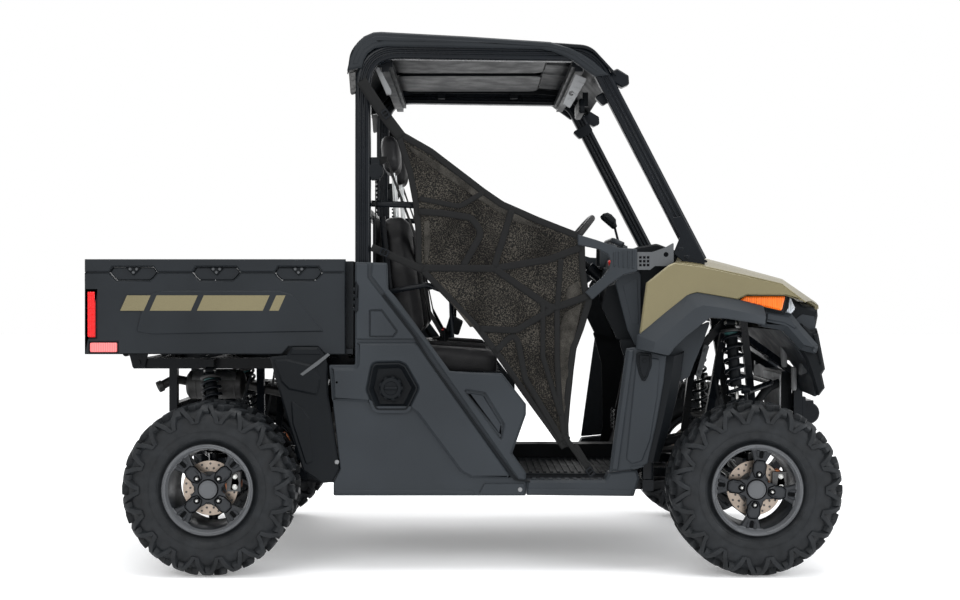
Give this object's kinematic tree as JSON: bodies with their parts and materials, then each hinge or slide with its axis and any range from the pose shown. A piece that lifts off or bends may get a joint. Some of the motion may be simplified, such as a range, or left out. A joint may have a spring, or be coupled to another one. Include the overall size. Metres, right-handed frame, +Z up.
{
  "type": "side by side utility vehicle",
  "caption": "Side by side off-road utility vehicle with a roll cage and roof, bench-height seats, side nets, open wheels, hinged hood and tipping cargo bed with tailgate.",
  "frame": {"origin": "on the ground under the middle of the whole vehicle", "axes": "+X forward, +Y to the vehicle's left, +Z up"},
  "size_m": [2.816, 1.51, 1.9859],
  "materials": {
    "tyre": "matte rubber",
    "rim_paint": "satin",
    "frame_paint": "satin powder coat",
    "panel_plastic": "fine grain",
    "bed_plastic": "fine grain",
    "khaki_paint": "satin metallic",
    "black_plastic": "grained",
    "seat_cover": "grained vinyl",
    "net_fabric": "woven",
    "belt_fabric": "woven",
    "lamp_red": "clear gloss",
    "lamp_amber": "clear gloss",
    "lamp_clear": "clear gloss",
    "steel": "machined",
    "iron": "as cast",
    "alloy": "cast"
  },
  "bodies": {
    "chassis": {"bed_lever": "frame_paint", "body_cowls": "khaki_paint", "cage": "frame_paint", "controls": "black_plastic", "dashboard": "black_plastic", "drive_axles": "steel", "driveline": "iron", "engine_block": "alloy", "exhaust": "steel", "floor_tub": "black_plastic", "frame": "frame_paint", "front_arms": "frame_paint", "front_fascia": "black_plastic", "front_fenders": "panel_plastic", "fuel_cap": "black_plastic", "headlamps": "lamp_clear", "headrests": "seat_cover", "hitch": "frame_paint", "indicator_lamps": "lamp_amber", "quarter_panels": "panel_plastic", "radiator": "alloy", "rear_arms": "frame_paint", "rear_liners": "panel_plastic", "rear_uprights": "iron", "rear_wall": "black_plastic", "roof": "black_plastic", "roof_headers": "alloy", "seat_backs": "seat_cover", "seat_bases": "seat_cover", "seat_belts": "belt_fabric", "shock_absorbers": "alloy", "side_cowls": "panel_plastic", "side_nets": "net_fabric", "sills": "panel_plastic", "skid_plate": "black_plastic", "springs": "frame_paint", "steering_column": "frame_paint", "steering_gear": "alloy", "winch": "frame_paint"},
    "bed": {"cargo_bed": "bed_plastic", "tail_lamps": "lamp_red"},
    "tailgate": {"tailgate": "bed_plastic"},
    "hood": {"hood": "khaki_paint"},
    "steering_wheel": {"steering_wheel": "black_plastic"},
    "steering_rack": {"steering_rack": "steel"},
    "knuckle_right": {"knuckle_right": "iron"},
    "knuckle_left": {"knuckle_left": "iron"},
    "wheel_front_right": {"tyre_front_right": "tyre", "rim_front_right": "rim_paint", "hub_front_right": "steel"},
    "wheel_front_left": {"tyre_front_left": "tyre", "rim_front_left": "rim_paint", "hub_front_left": "steel"},
    "wheel_rear_right": {"tyre_rear_right": "tyre", "rim_rear_right": "rim_paint", "hub_rear_right": "steel"},
    "wheel_rear_left": {"tyre_rear_left": "tyre", "rim_rear_left": "rim_paint", "hub_rear_left": "steel"}
  },
  "joints": [
    {"name": "steer_right", "type": "hinge", "parent": "chassis", "child": "knuckle_right", "pos_m": [1.032, -0.62, 0.312], "axis": [0, 0, 1], "range_deg": [-28, 28]},
    {"name": "steer_left", "type": "hinge", "parent": "chassis", "child": "knuckle_left", "pos_m": [1.032, 0.62, 0.312], "axis": [0, 0, 1], "range_deg": [-28, 28]},
    {"name": "steering_wheel_turn", "type": "hinge", "parent": "chassis", "child": "steering_wheel", "pos_m": [0.427, 0.35, 1.215], "axis": [-0.7547, 0, 0.6561], "range_deg": [-270, 270]},
    {"name": "rack_slide", "type": "slide", "parent": "chassis", "child": "steering_rack", "axis": [0, 1, 0], "range_m": [-0.036, 0.036]},
    {"name": "wheel_front_right_spin", "type": "hinge", "parent": "knuckle_right", "child": "wheel_front_right", "pos_m": [1.032, -0.6525, 0.312], "axis": [0, 1, 0], "continuous": true},
    {"name": "wheel_front_left_spin", "type": "hinge", "parent": "knuckle_left", "child": "wheel_front_left", "pos_m": [1.032, 0.6525, 0.312], "axis": [0, 1, 0], "continuous": true},
    {"name": "wheel_rear_right_spin", "type": "hinge", "parent": "chassis", "child": "wheel_rear_right", "pos_m": [-0.928, -0.6275, 0.312], "axis": [0, 1, 0], "continuous": true},
    {"name": "wheel_rear_left_spin", "type": "hinge", "parent": "chassis", "child": "wheel_rear_left", "pos_m": [-0.928, 0.6275, 0.312], "axis": [0, 1, 0], "continuous": true},
    {"name": "bed_tilt", "type": "hinge", "parent": "chassis", "child": "bed", "pos_m": [-1.262, 0, 0.748], "axis": [0, -1, 0], "range_deg": [0, 42]},
    {"name": "tailgate_drop", "type": "hinge", "parent": "bed", "child": "tailgate", "pos_m": [-1.39, 0, 0.81], "axis": [0, -1, 0], "range_deg": [0, 90]},
    {"name": "hood_lift", "type": "hinge", "parent": "chassis", "child": "hood", "pos_m": [0.812, 0, 1.14], "axis": [0, -1, 0], "range_deg": [0, 55]}
  ],
  "couplings": [
    {"joint": "steer_left", "follows": "steer_right", "ratio": 1},
    {"joint": "steering_wheel_turn", "follows": "steer_right", "ratio": 9.6},
    {"joint": "rack_slide", "follows": "steer_right", "m_per_rad": -0.0696}
  ]
}
